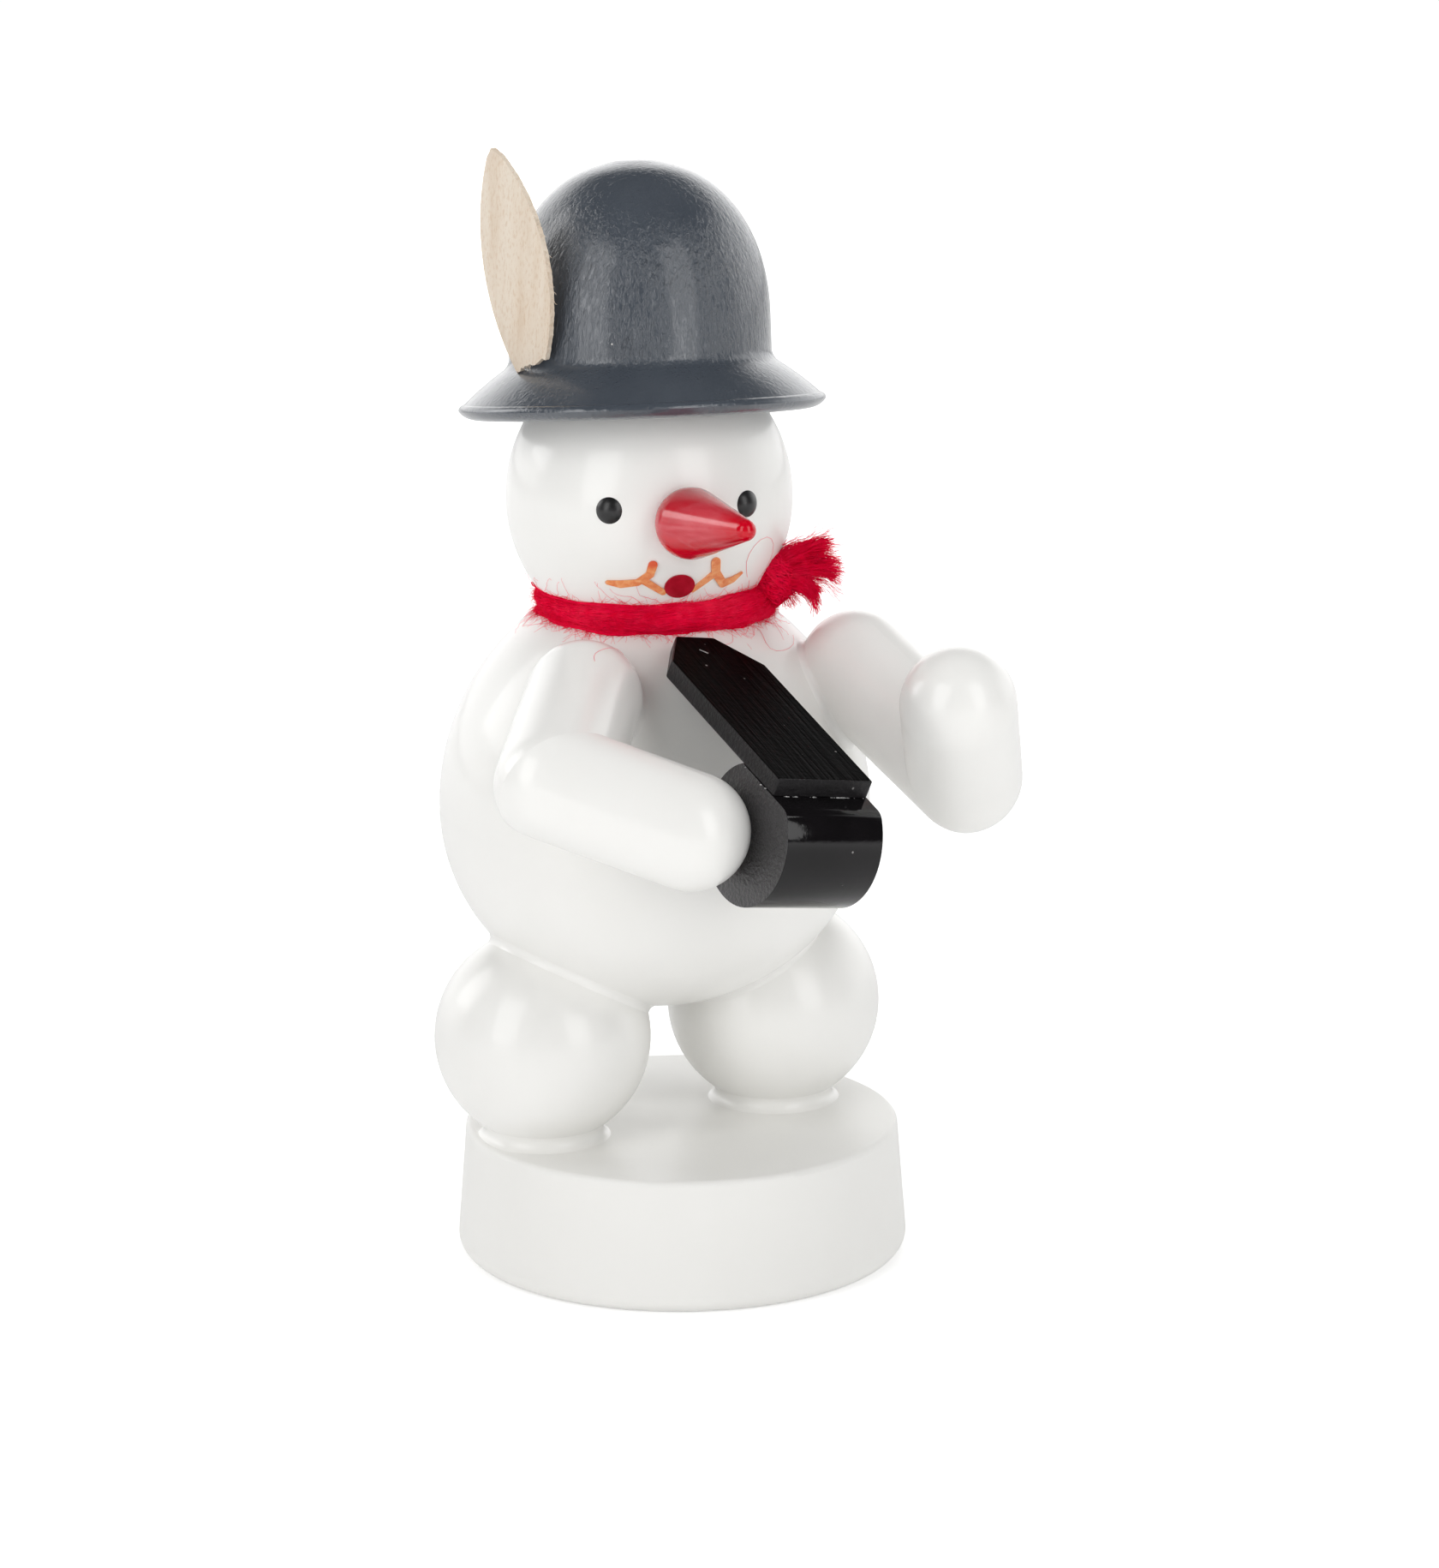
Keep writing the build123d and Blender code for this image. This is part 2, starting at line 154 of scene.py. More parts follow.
def white_lacquer(name, shine, coat):
    """White dipped lacquer with a faint wood grain under it and a few dust specks."""
    p = Paint(name, Roughness=0.3, Specular_IOR_Level=shine, Coat_Weight=coat,
              Coat_Roughness=0.09)
    cloud = p.noise(p.stretched((90, 90, 45)), detail=3)
    tint = p.ramp(cloud, (0.3, (0.872, 0.865, 0.838)), (0.7, (0.896, 0.891, 0.866)))
    speck = p.ramp(p.cells(p.place, 420), (0.0, 1.0), (0.035, 1.0), (0.05, 0.0))
    rare = p.ramp(p.noise(p.stretched((260, 260, 260)), detail=1), (0.66, 0.0), (0.70, 1.0))
    dots = p.maths("MULTIPLY", p.maths("MULTIPLY", speck, rare), 0.22)
    p.into("Base Color", p.mix(dots, tint, (0.30, 0.24, 0.20)))
    gloss = p.ramp(p.noise(p.stretched((140, 140, 60)), detail=2), (0.3, 0.29), (0.7, 0.37))
    p.into("Roughness", gloss)
    grain = p.noise(p.stretched((700, 700, 60)), detail=5, twist=0.3)
    skin = p.noise(p.place, scale=520, detail=2)
    p.bump((grain, 0.3, 0.035), (skin, 0.3, 0.03))
    return p.mat


def slate_paint():
    """Dark slate-blue paint with the open grain of the turned hat showing through."""
    tilt = (math.radians(-7.6), math.radians(2.0), 0)
    p = Paint("slate_paint", Specular_IOR_Level=0.8, Coat_Weight=0.45, Coat_Roughness=0.15)
    cloud = p.noise(p.stretched((160, 160, 90), tilt), detail=4)
    tint = p.ramp(cloud, (0.25, (0.050, 0.060, 0.076)), (0.75, (0.068, 0.080, 0.098)))
    speck = p.ramp(p.cells(p.place, 620), (0.0, 1.0), (0.04, 1.0), (0.06, 0.0))
    rare = p.ramp(p.noise(p.stretched((300, 300, 300)), detail=1), (0.64, 0.0), (0.69, 1.0))
    dots = p.maths("MULTIPLY", speck, rare)
    p.into("Base Color", p.mix(dots, tint, (0.75, 0.74, 0.72)))
    p.into("Roughness", p.ramp(cloud, (0.3, 0.21), (0.7, 0.265)))
    fine = p.noise(p.stretched((3600, 3600, 520), tilt), detail=3, twist=0.4)
    band = p.noise(p.stretched((420, 420, 45), tilt), detail=2, twist=0.3)
    pores = p.noise(p.stretched((3000, 3000, 700), tilt), detail=3)
    pores = p.ramp(pores, (0.52, 0.0), (0.66, 1.0))
    # the grain stands out in patches on the lower crown, and is faint on the dome and the brim
    patch = p.noise(p.stretched((190, 190, 110), tilt), detail=2)
    patch = p.ramp(patch, (0.40, 0.40), (0.58, 1.0))
    height = p.node("ShaderNodeSeparateXYZ", {"Vector": p.place}).outputs["Z"]
    low = p.node("ShaderNodeMapRange", {
        "Value": height, "From Min": 0.0760, "From Max": 0.0700, "To Min": 0.15}).outputs[0]
    brim = p.node("ShaderNodeMapRange", {
        "Value": height, "From Min": 0.0640, "From Max": 0.0655, "To Min": 0.2}).outputs[0]
    share = p.maths("MULTIPLY", patch, p.maths("MULTIPLY", low, brim))
    p.bump((band, 0.10, 0.06), (p.maths("MULTIPLY", fine, share), 1.0, 0.26),
           (p.maths("MULTIPLY", pores, share), 0.8, 0.10))
    return p.mat


def bare_wood():
    """Unfinished beech for the dowels."""
    p = Paint("bare_beech", Roughness=0.6)
    rings = p.noise(p.stretched((800, 800, 90)), detail=4, twist=0.6)
    flecks = p.ramp(p.noise(p.stretched((3200, 3200, 500)), detail=2), (0.56, 0.0), (0.64, 1.0))
    wood = p.ramp(rings, (0.3, (0.52, 0.36, 0.22)), (0.7, (0.68, 0.50, 0.33)))
    share = p.maths("MULTIPLY", flecks, 0.5)
    p.into("Base Color", p.mix(share, wood, (0.30, 0.17, 0.09)))
    p.bump((rings, 0.3, 0.03), (flecks, 0.3, 0.02))
    return p.mat


def veneer():
    """Pale beech veneer with the short dark flecks of the cut; the grain runs up the leaf."""
    lean = (math.radians(-7.6), math.radians(-6.0), 0)
    p = Paint("veneer", Roughness=0.62, Specular_IOR_Level=0.35)
    grain = p.noise(p.stretched((700, 700, 60), lean), detail=4, twist=0.4)
    wood = p.ramp(grain, (0.25, (0.680, 0.560, 0.440)), (0.5, (0.745, 0.650, 0.540)),
                  (0.8, (0.780, 0.705, 0.605)))
    flecks = p.noise(p.stretched((6400, 6400, 2300), lean), detail=2)
    flecks = p.ramp(flecks, (0.52, 0.0), (0.66, 1.0))
    streak = p.ramp(p.noise(p.stretched((420, 420, 22), lean), detail=2), (0.58, 0.0), (0.72, 1.0))
    wood = p.mix(p.maths("MULTIPLY", streak, 0.14), wood, (0.62, 0.42, 0.25))
    p.into("Base Color", p.mix(p.maths("MULTIPLY", flecks, 0.38), wood, (0.58, 0.39, 0.24)))
    p.bump((grain, 0.3, 0.03), (flecks, 0.4, 0.03))
    return p.mat


def red_stain():
    """Clear glossy stain on turned wood: the grain shows through, darker at the tip; the underside
    is painted deeper red as painted shade.
    """
    turn = (math.radians(90), 0, 0)
    p = Paint("red_stain", Roughness=0.18, Specular_IOR_Level=0.25, Coat_Weight=0.35,
              Coat_Roughness=0.04, Subsurface_Weight=0.12, Subsurface_Scale=0.0006)
    p.shader.inputs["Subsurface Radius"].default_value = (1.0, 0.25, 0.2)
    grain = p.noise(p.stretched((1100, 1100, 190), turn), detail=5, twist=0.5)
    tone = p.ramp(grain, (0.28, (0.56, 0.012, 0.028)), (0.50, (0.62, 0.040, 0.060)),
                  (0.78, (0.68, 0.095, 0.115)))
    deep = p.ramp(p.noise(p.stretched((380, 380, 260), turn), detail=3), (0.52, 0.0), (0.62, 1.0))
    spread = p.node("ShaderNodeSeparateXYZ", {"Vector": p.place})
    tip = p.node("ShaderNodeMapRange", {
        "Value": spread.outputs["Y"], "From Min": -0.0150, "From Max": -0.0168}).outputs[0]
    # painted shade: the underside of the nose, below a wavy height, is painted deep red
    low = p.node("ShaderNodeMapRange", {
        "Value": p.maths("ADD", spread.outputs["Z"], p.maths("MULTIPLY", deep, 0.0007)),
        "From Min": 0.0536, "From Max": 0.0531}).outputs[0]
    share = p.maths("MAXIMUM", p.maths("MAXIMUM", tip, low), p.maths("MULTIPLY", deep, 0.65))
    p.into("Base Color", p.mix(share, tone, (0.60, 0.0008, 0.014)))
    p.bump((grain, 0.15, 0.012))
    return p.mat


def gloss_paint(name, one, two, rough=0.12, coat=0.8):
    """Hand-brushed paint with a soft change of tone and fine brush lines."""
    p = Paint(name, Roughness=rough, Coat_Weight=coat, Coat_Roughness=0.04)
    tone = p.noise(p.stretched((900, 900, 900)), detail=3, twist=0.4)
    p.into("Base Color", p.ramp(tone, (0.35, one), (0.65, two)))
    lines = p.noise(p.stretched((1400, 1400, 3600)), detail=2)
    p.bump((lines, 0.25, 0.015))
    return p.mat


def orange_strokes():
    """The two brushed mouth lines, streaky and redder at the right corner of the mouth."""
    p = Paint("orange_strokes", Roughness=0.35, Coat_Weight=0.3, Coat_Roughness=0.15)
    streak = p.noise(p.stretched((1900, 1900, 2600)), detail=4, twist=0.6)
    tone = p.ramp(streak, (0.35, (0.78, 0.200, 0.060)), (0.5, (0.86, 0.300, 0.100)),
                  (0.68, (0.90, 0.440, 0.200)))
    spread = p.node("ShaderNodeSeparateXYZ", {"Vector": p.place})
    high = p.node("ShaderNodeMapRange", {
        "Value": spread.outputs["Z"], "From Min": 0.05060, "From Max": 0.05090}).outputs[0]
    side = p.node("ShaderNodeMapRange", {
        "Value": spread.outputs["X"], "From Min": -0.0045, "From Max": -0.0050}).outputs[0]
    share = p.maths("MULTIPLY", p.maths("MULTIPLY", high, side), 0.9)
    p.into("Base Color", p.mix(share, tone, (0.76, 0.090, 0.030)))
    p.bump((streak, 0.4, 0.03))
    return p.mat


def black_lacquer(name, along, low, high, shine, lines_deep, stipple_deep, pale=1.0,
                  pits=2400):
    """Black lacquer with fine sanding lines along one direction, and a stipple of pits."""
    p = Paint(name, Roughness=0.3, Specular_IOR_Level=shine)
    lines = p.noise(p.stretched((2600, 90, 2600), along), detail=3)
    cloud = p.noise(p.place, scale=260, detail=4)
    tint = p.ramp(cloud, (0.3, (0.0030 * pale, 0.0026 * pale, 0.0030 * pale)),
                  (0.7, (0.0070 * pale, 0.0060 * pale, 0.0070 * pale)))
    speck = p.ramp(p.cells(p.place, 900), (0.0, 1.0), (0.06, 1.0), (0.09, 0.0))
    rare = p.ramp(p.noise(p.stretched((420, 420, 420)), detail=1), (0.60, 0.0), (0.66, 1.0))
    dots = p.maths("MULTIPLY", speck, rare)
    p.into("Base Color", p.mix(p.maths("MULTIPLY", dots, 0.55), tint, (0.45, 0.44, 0.43)))
    p.into("Roughness", p.ramp(lines, (0.3, low), (0.7, high)))
    stipple = p.noise(p.place, scale=pits, detail=3)
    p.bump((lines, 0.5, lines_deep), (stipple, 0.5, stipple_deep))
    return p.mat


def wool():
    """Felted red wool; strands and fuzz share it."""
    p = Paint("red_wool", Roughness=0.9, Specular_IOR_Level=0.04)
    tone = p.noise(p.place, scale=1500, detail=3)
    clump = p.noise(p.place, scale=320, detail=3)
    both = p.maths("MULTIPLY", p.maths("ADD", tone, clump), 0.5)
    p.into("Base Color", p.ramp(both, (0.36, (0.92, 0.0015, 0.0450)),
                                (0.50, (0.96, 0.0050, 0.0600)), (0.64, (1.0, 0.0180, 0.0800))))
    return p.mat


def glue():
    """Grey, half clear beads of dried glue."""
    p = Paint("dried_glue", Roughness=0.25, Coat_Weight=0.5, Coat_Roughness=0.1)
    p.into("Base Color", p.ramp(p.noise(p.place, scale=1500, detail=2),
                                (0.35, (0.30, 0.30, 0.30)), (0.65, (0.62, 0.61, 0.60))))
    p.bump((p.noise(p.place, scale=3000, detail=2), 0.3, 0.02))
    return p.mat


WHITE = white_lacquer("white_lacquer", 0.4, 0.4)
WHITE_SATIN = white_lacquer("white_lacquer_satin", 0.15, 0.05)
SLATE = slate_paint()
VENEER = veneer()
STAIN = red_stain()
BLACK_PAINT = gloss_paint("black_paint", (0.006, 0.006, 0.006), (0.013, 0.013, 0.014), 0.35, 0.1)
RED_PAINT = gloss_paint("red_paint", (0.36, 0.004, 0.016), (0.50, 0.010, 0.030), 0.22, 0.4)
ORANGE = orange_strokes()
BEECH = bare_wood()
WOOL = wool()
GLUE = glue()
PLATE_TURN = (-math.atan2(PLATE_ALONG.z, PLATE_ALONG.y), 0, 0)
BLACK_GLOSS = black_lacquer("black_lacquer", PLATE_TURN, 0.06, 0.10, 0.34, 0.004, 0.012)
BLACK_SATIN = black_lacquer("black_lacquer_brushed", PLATE_TURN, 0.29, 0.42, 0.01, 0.12, 0.04,
                            pale=0.10)
BLACK_DULL = black_lacquer("black_lacquer_dull", PLATE_TURN, 0.32, 0.44, 0.85, 0.01, 0.24,
                           pale=2.8, pits=3600)
BLACK_SIDE = black_lacquer("black_lacquer_edge", PLATE_TURN, 0.36, 0.48, 0.32, 0.01, 0.10,
                           pale=1.5, pits=4200)


def wear(name, material):
    """Give a CAD piece one material."""
    mesh = nodes[name].data
    mesh.materials.clear()
    mesh.materials.append(material)


FINISH = {
    WHITE_SATIN: ("base_disc",),
    WHITE: ("right_leg_ball", "left_leg_ball", "torso", "head", "right_upper_arm",
            "right_forearm", "left_upper_arm", "left_forearm"),
    SLATE: ("hat",),
    VENEER: ("feather",),
    STAIN: ("nose",),
    BLACK_PAINT: ("right_eye", "left_eye"),
    RED_PAINT: ("mouth_dot",),
    ORANGE: ("mouth_line_right", "mouth_line_left"),
    WOOL: ("scarf",),
    BLACK_GLOSS: ("prop_plate", "prop_roller"),
    BEECH: ("foot_dowel_right", "foot_dowel_left", "hip_dowel_right", "hip_dowel_left",
            "neck_dowel", "hat_dowel", "shoulder_dowel_right", "shoulder_dowel_left",
            "elbow_dowel_right", "elbow_dowel_left", "hand_dowel"),
}
for material, names in FINISH.items():
    for name in names:
        wear(name, material)

# the flat ends of the roller and the sides of the plate are dull, the plate's top is brushed
for name in ("prop_plate", "prop_roller"):
    mesh = nodes[name].data
    mesh.materials.append(BLACK_DULL if name == "prop_roller" else BLACK_SIDE)
    mesh.materials.append(BLACK_SATIN)
    for face in mesh.polygons:
        if name == "prop_plate":
            face.material_index = 2 if face.normal.dot(PLATE_UP) > 0.9 else 1
        elif abs(face.normal.dot(PLATE_ACROSS)) > 0.95:
            face.material_index = 1


# ---------------------------------------------------------------- meshes

def piece(name, points, faces, material, smooth=True):
    """A new mesh piece from points in millimetres, fixed to the figure."""
    mesh = bpy.data.meshes.new(name)
    mesh.from_pydata([tuple(float(c) * MM for c in point) for point in points], [], faces)
    mesh.materials.append(material)
    if smooth:
        mesh.polygons.foreach_set("use_smooth", [True] * len(mesh.polygons))
    mesh.update()
    made = bpy.data.objects.new(name, mesh)
    bpy.context.scene.collection.objects.link(made)
    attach(made, "root")
    return made


TREES = {}


def tree_of(name):
    """Search tree over the surface of a CAD piece, in millimetres."""
    if name not in TREES:
        mesh = nodes[name].data
        TREES[name] = BVHTree.FromPolygons([v.co / MM for v in mesh.vertices],
                                           [tuple(f.vertices) for f in mesh.polygons])
    return TREES[name]


def reach(tree, point):
    """Distance to a surface, the way out of it, and the nearest point on it."""
    near, normal, _, distance = tree.find_nearest(point)
    away = point - near
    if away.dot(normal) < 0:
        return -distance, away / -distance, near
    return distance, away / max(distance, 1e-9), near


def settle_ball(surfaces, centre, spoke, axis, place, radius):
    """Move a ball in the plane of spoke and axis until it touches both surfaces."""
    x, y = place
    for _ in range(40):
        ball = centre + spoke * x + axis * y
        (d1, g1, p1), (d2, g2, p2) = (reach(surface, ball) for surface in surfaces)
        e1, e2 = radius - d1, radius - d2
        if abs(e1) + abs(e2) < 0.002:
            return (x, y), (ball, (p1 - ball).normalized(), (p2 - ball).normalized())
        a, b, c, d = g1.dot(spoke), g1.dot(axis), g2.dot(spoke), g2.dot(axis)
        det = a * d - b * c
        if abs(det) < 0.02:
            break
        dx, dy = (e1 * d - b * e2) / det, (a * e2 - e1 * c) / det
        size = math.hypot(dx, dy)
        if size > 0.4:
            dx, dy = dx * 0.4 / size, dy * 0.4 / size
        x, y = x + dx, y + dy
    return (x, y), None


def fillet(name, one, two, centre, axis, ring, radius, steps=220, least=14.0):
    """Lacquer gathered in the crease of two pieces: the path of a ball rolled round it.

    The crease runs round axis through centre, about ring away from it.  Where the two
    surfaces meet at less than least degrees there is nothing to fill.
    """
    surfaces = tree_of(one), tree_of(two)
    axis = axis.normalized()
    side = axis.orthogonal().normalized()
    other = axis.cross(side)
    found = []
    last = (ring + radius, 0.0)
    for step in range(steps):
        angle = 2 * math.pi * step / steps
        spoke = side * math.cos(angle) + other * math.sin(angle)
        place, touch = settle_ball(surfaces, centre, spoke, axis, last, radius)
        if touch and 0 < place[0] < ring * 3 + 3:
            if math.degrees(touch[1].angle(touch[2])) > least:
                last = place
                found.append(touch)
                continue
        found.append(None)
    return lay_strip(name, found, radius)


def averaged(found, reach_out=7):
    """Each touch averaged with its neighbours, where none of them is missing."""
    count = len(found)
    smooth = list(found)
    for index in range(count):
        near = [found[(index + k) % count] for k in range(-reach_out, reach_out + 1)]
        if None in near:
            continue
        ball = sum((n[0] for n in near), Vector()) / len(near)
        u1 = sum((n[1] for n in near), Vector()).normalized()
        u2 = sum((n[2] for n in near), Vector()).normalized()
        smooth[index] = (ball, u1, u2)
    return smooth


def lay_strip(name, found, radius, arc=8):
    """The strip of lacquer between the two lines along which the ball touched."""
    count = len(found)
    points, rows, faces = [], {}, []
    for index, touch in enumerate(averaged(found)):
        if touch is None:
            continue
        ball, u1, u2 = touch
        rows[index] = len(points), ball
        angle = u1.angle(u2)
        for k in range(arc + 1):
            t = k / arc
            way = (u1 * math.sin((1 - t) * angle) + u2 * math.sin(t * angle)).normalized()
            deep = radius + (0.04 if k in (0, arc) else 0.0)
            points.append(ball + way * deep)
    for index in range(count):
        after = (index + 1) % count
        if index in rows and after in rows:
            a, b = rows[index][0], rows[after][0]
            faces += [(a + k, b + k, b + k + 1, a + k + 1) for k in range(arc)]
    made = piece(name, points, faces, WHITE)
    # the visible side faces the rolling ball
    middle = len(faces) // 2
    corner = faces[middle][0]
    ball = max((row for row in rows.values() if row[0] <= corner), key=lambda row: row[0])[1]
    if made.data.polygons[middle].normal.dot(ball - points[corner]) < 0:
        made.data.flip_normals()
    print("FILLET", name, len(rows), "of", count)
    return made


LEG_CREASE = 0.62                       # radii of the lacquer in the creases
SHOULDER_CREASE = 0.45
ELBOW_CREASE = 0.28

for side, leg in zip(("right", "left"), LEG_CENTRES):
    foot = Vector((leg.x, leg.y, BASE_HEIGHT))
    fillet(f"lacquer_{side}_foot", f"{side}_leg_ball", "base_disc", foot, Vector((0, 0, 1)),
           3.9, LEG_CREASE)
    rise = TORSO_CENTRE - leg
    fillet(f"lacquer_{side}_hip", f"{side}_leg_ball", "torso", leg + rise.normalized() * 4.9,
           rise, 5.7, LEG_CREASE)
for side, shoulder, elbow, hand in zip(("right", "left"), SHOULDERS, ELBOWS, HANDS):
    inward = (Vector((TORSO_CENTRE.x, TORSO_CENTRE.y, 37)) - shoulder).normalized()
    fillet(f"lacquer_{side}_shoulder", f"{side}_upper_arm", "torso", shoulder + inward * 2.0,
           inward, 4.2, SHOULDER_CREASE, steps=260)
    mitre = (elbow - shoulder).normalized() + (hand - elbow).normalized()
    fillet(f"lacquer_{side}_elbow", f"{side}_upper_arm", f"{side}_forearm", elbow, mitre,
           4.4, ELBOW_CREASE, steps=260, least=10.0)


# ---- feather ----
def circle_x(p1, p2, p3):
    """x of the circle through three points, as a function of y."""
    (ax, ay), (bx, by), (cx, cy) = p1, p2, p3
    d = 2 * (ax * (by - cy) + bx * (cy - ay) + cx * (ay - by))
    ux = ((ax**2 + ay**2) * (by - cy) + (bx**2 + by**2) * (cy - ay)
          + (cx**2 + cy**2) * (ay - by)) / d
    uy = ((ax**2 + ay**2) * (cx - bx) + (bx**2 + by**2) * (ax - cx)
          + (cx**2 + cy**2) * (bx - ax)) / d
    radius = math.hypot(ax - ux, ay - uy)
    sign = 1 if bx > ux else -1
    return lambda y: ux + sign * math.sqrt(max(radius**2 - (y - uy)**2, 0))


def make_feather():
    """A curled veneer leaf with a torn foot, leaning out from the crown."""
    skew = math.radians(3)
    left = circle_x((-0.7, -0.35), (-3.05, 7.13), (-0.4, 15.65))
    right = circle_x((1.35, 0.35), (3.92, 7.13), (0.4, 15.65))
    outward = Vector((-math.sin(math.radians(80)), -math.cos(math.radians(80)), 0))
    outward = (outward - HAT_AXIS * outward.dot(HAT_AXIS)).normalized()
    lean = math.radians(6.7)
    up = HAT_AXIS * math.cos(lean) + outward * math.sin(lean)
    face = outward * math.cos(lean) - HAT_AXIS * math.sin(lean)
    across = up.cross(face)
    seat = HAT_FOOT + HAT_AXIS * FEATHER_SEAT + outward * (CROWN_RADIUS + 0.25) - up * 1.3

    def placed(x, y, z):
        px = x * math.cos(skew) - y * math.sin(skew)
        py = x * math.sin(skew) + y * math.cos(skew)
        return seat + across * px + up * py + face * z

    rows, cols = 90, 26
    points = leaf_points(rows, cols, left, right, placed)
    leaf = piece("feather_leaf", points, leaf_faces(rows, cols), VENEER,
                 smooth=False)
    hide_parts("feather")
    splinters(placed, across, up, face, left, right)


def leaf_foot(share):
    """Height of the torn foot, from 0 at the rear edge to 1 at the front edge."""
    return 1.15 + (share - 0.5) * 0.8


def leaf_points(rows, cols, left, right, placed, thick=0.36):
    """Grid points of both faces, between the rear edge and the front edge."""
    torn = rng.normal(0, 0.14, cols + 1)
    torn = np.convolve(np.r_[torn[-1:], torn, torn[:1]], (0.25, 0.5, 0.25), "valid")
    points = []
    for layer in (0, 1):
        for r in range(rows + 1):
            t = r / rows
            for c in range(cols + 1):
                s = c / cols
                foot = leaf_foot(s) + torn[c]
                y = foot + (FEATHER_LENGTH - foot) * t
                edge = min(y, FEATHER_LENGTH - 0.05)
                lo, hi = left(edge), right(edge)
                pinch = min(1.0, math.sqrt(max(FEATHER_LENGTH - y, 0) / 0.5))
                middle = (lo + hi) / 2
                x = middle + (lo + (hi - lo) * s - middle) * pinch
                if c == cols:
                    x += 0.04 * math.sin(y * 9 + layer) * math.sin(y * 4.3 + 1.7)
                curl = 0.10 * math.sin(math.pi * s) + 0.05 * math.sin(3.1 * t + 2.2 * s)
                points.append(placed(x, y, curl + (thick if layer else 0)))
    return points


def leaf_faces(rows, cols):
    """Both faces of the leaf and the rim between them."""
    side = (rows + 1) * (cols + 1)
    faces = []
    for layer in (0, 1):
        for r in range(rows):
            for c in range(cols):
                a = layer * side + r * (cols + 1) + c
                quad = (a, a + 1, a + cols + 2, a + cols + 1)
                faces.append(quad if layer else quad[::-1])
    rim = list(range(cols + 1))
    rim += [r * (cols + 1) + cols for r in range(1, rows + 1)]
    rim += [rows * (cols + 1) + c for c in range(cols - 1, -1, -1)]
    rim += [r * (cols + 1) for r in range(rows - 1, 0, -1)]
    for a, b in zip(rim, rim[1:] + rim[:1]):
        faces.append((a, b, side + b, side + a))
    return faces


def tubes(name, lines, radii, material, sides=3):
    """Many thin round strands as one mesh. lines is (strands, points, 3) in mm."""
    lines = np.asarray(lines, float)
    count, steps, _ = lines.shape
    radii = np.broadcast_to(np.asarray(radii, float), (count, steps))
    ahead = np.gradient(lines, axis=1)
    ahead /= np.linalg.norm(ahead, axis=2, keepdims=True) + 1e-12
    guide = rng.normal(size=(count, 1, 3))
    side = guide - ahead * (guide * ahead).sum(2, keepdims=True)
    side /= np.linalg.norm(side, axis=2, keepdims=True) + 1e-12
    other = np.cross(ahead, side)
    turn = np.arange(sides) * 2 * math.pi / sides
    shell = (side[:, :, None] * np.cos(turn)[:, None] + other[:, :, None] * np.sin(turn)[:, None])
    points = lines[:, :, None] + shell * radii[:, :, None, None]
    base = (np.arange(count)[:, None, None] * steps + np.arange(steps - 1)[None, :, None]) * sides
    k = np.arange(sides)[None, None]
    k2 = (k + 1) % sides
    quads = np.stack([base + k, base + k2, base + sides + k2, base + sides + k], -1)
    quads = quads.reshape(-1, 4)
    return strand_mesh(name, points.reshape(-1, 3) * MM, quads, material)


def strand_mesh(name, points, quads, material):
    """A large mesh of quads straight from arrays, fixed to the figure."""
    mesh = bpy.data.meshes.new(name)
    mesh.vertices.add(len(points))
    mesh.vertices.foreach_set("co", points.astype(np.float32).ravel())
    mesh.loops.add(quads.size)
    mesh.loops.foreach_set("vertex_index", quads.ravel().astype(np.int32))
    mesh.polygons.add(len(quads))
    mesh.polygons.foreach_set("loop_start", np.arange(len(quads), dtype=np.int32) * 4)
    mesh.polygons.foreach_set("use_smooth", np.ones(len(quads), bool))
    mesh.update(calc_edges=True)
    mesh.materials.append(material)
    made = bpy.data.objects.new(name, mesh)
    bpy.context.scene.collection.objects.link(made)
    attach(made, "root")
    return made


def splinters(placed, across, up, face, left, right):
    """Loose wood fibres along the torn foot and the front edge of the leaf."""
    lines = []
    for index in range(26):
        if index < 14:
            s = rng.uniform(0, 1)
            y = leaf_foot(s)
            x = left(0.2) + (right(0.2) - left(0.2)) * s
            way = (rng.normal(0, 0.12), -rng.uniform(0.15, 0.4), rng.normal(0, 0.08))
        else:
            y = rng.uniform(5.0, 11.5)
            x = right(y) - 0.04
            way = (rng.uniform(0.2, 0.75), rng.uniform(-0.5, 0.1), rng.normal(0.1, 0.1))
        start = placed(x, y, 0.2)
        line = []
        for k in range(5):
            t = k / 4
            bend = rng.normal(0, 0.03, 3)
            line.append(tuple(start + across * (way[0] * t + bend[0])
                              + up * (way[1] * t + bend[1] * t) + face * (way[2] * t)))
        lines.append(line)
    tubes("feather_fibres", lines, np.linspace(0.035, 0.012, 5)[None], VENEER)


make_feather()


# ---- scarf ----
def profile(z, centre, radius, half):
    """Radius of an ellipse of revolution at a height."""
    return radius * np.sqrt(np.clip(1 - ((z - centre) / half) ** 2, 0, 1))


def neck_wall(z):
    """How far out the neck groove's wall is, at a height."""
    head = profile(z, HEAD_CENTRE.z, HEAD_RADIUS, HEAD_HALF_HEIGHT)
    torso = profile(z, TORSO_CENTRE.z, TORSO_RADIUS, TORSO_UPPER_HEIGHT)
    return np.where(z > NECK_Z, head, torso)


NECK_XY = np.array([-1.44, 1.25])
KNOT_WAY = np.array([0.873, -0.488])    # the yarn is pulled a little to the knot's side
BACK_WAY = np.array([0.487, 0.873])
YARN_RING = 7.62                        # to the middle of the yarn
YARN_Z = 46.98
YARN_HALF_WIDTH = 0.82
YARN_HALF_HEIGHT = 0.93


